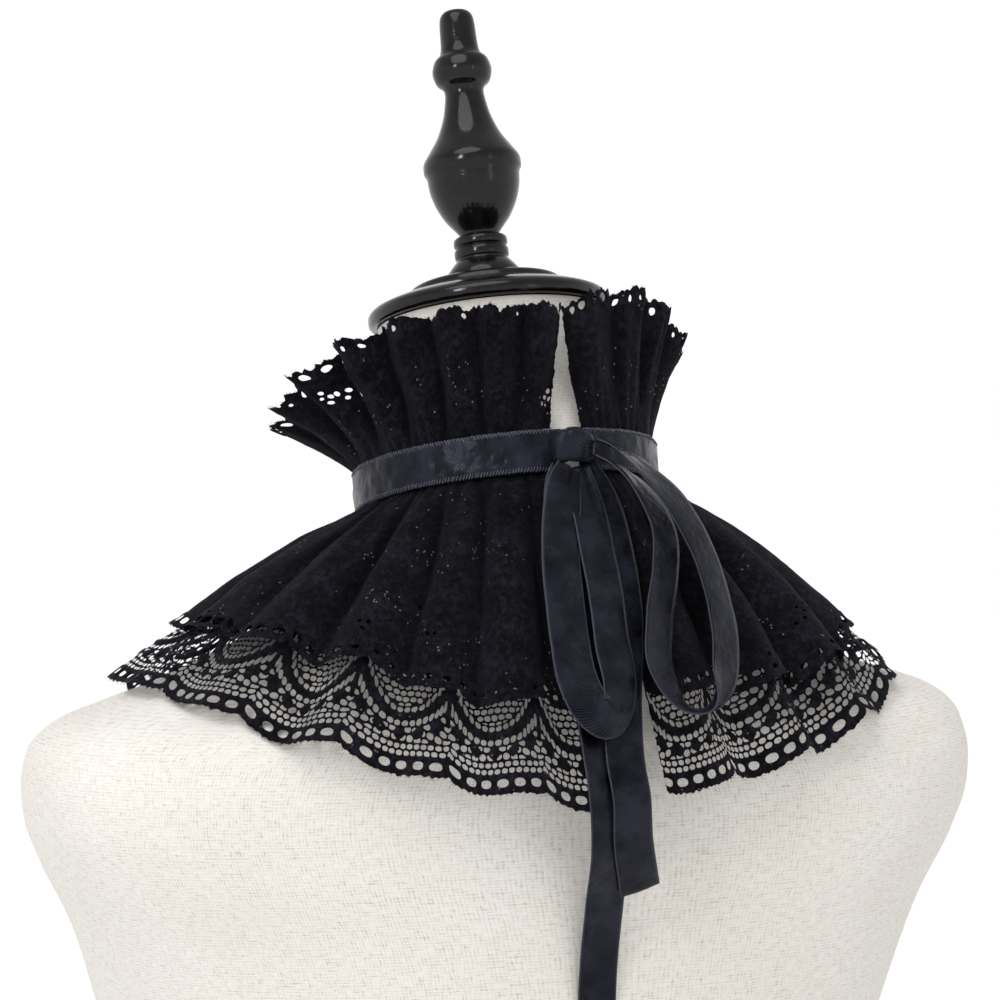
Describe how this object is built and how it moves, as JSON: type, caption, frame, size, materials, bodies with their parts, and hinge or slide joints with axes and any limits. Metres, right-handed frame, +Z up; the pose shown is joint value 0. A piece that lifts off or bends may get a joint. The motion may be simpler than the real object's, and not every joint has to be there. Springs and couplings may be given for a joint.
{
  "type": "lace collar on dress form",
  "caption": "Detachable black lace ruffle collar with two cape tiers and a satin ribbon bow, tied at the back of a limbless dress form with a turned wood finial.",
  "frame": {"origin": "middle of the box the part fills, on the surface it stands on", "axes": "+Z up, the form's front faces -Y and the collar ties at its back, +Y, and +X is the form's left"},
  "size_m": [0.401, 0.2605, 0.7688],
  "materials": {
    "ecru_knit": "matte ecru knit stretched over the form",
    "black_wood": "turned wood under glossy black lacquer",
    "black_lace": "matte black lace on a net ground",
    "black_satin": "soft black satin ribbon with fine cross ribs"
  },
  "bodies": {
    "root": {"dress_form": "ecru_knit", "neck_cap": "black_wood", "finial": "black_wood", "upper_frill": "black_lace", "upper_tier": "black_lace", "lower_tier": "black_lace", "neck_ribbon": "black_satin", "bow_knot": "black_satin", "bow_loop_long": "black_satin", "bow_loop_open": "black_satin", "bow_tail_short": "black_satin", "bow_tail_long": "black_satin"}
  },
  "joints": []
}
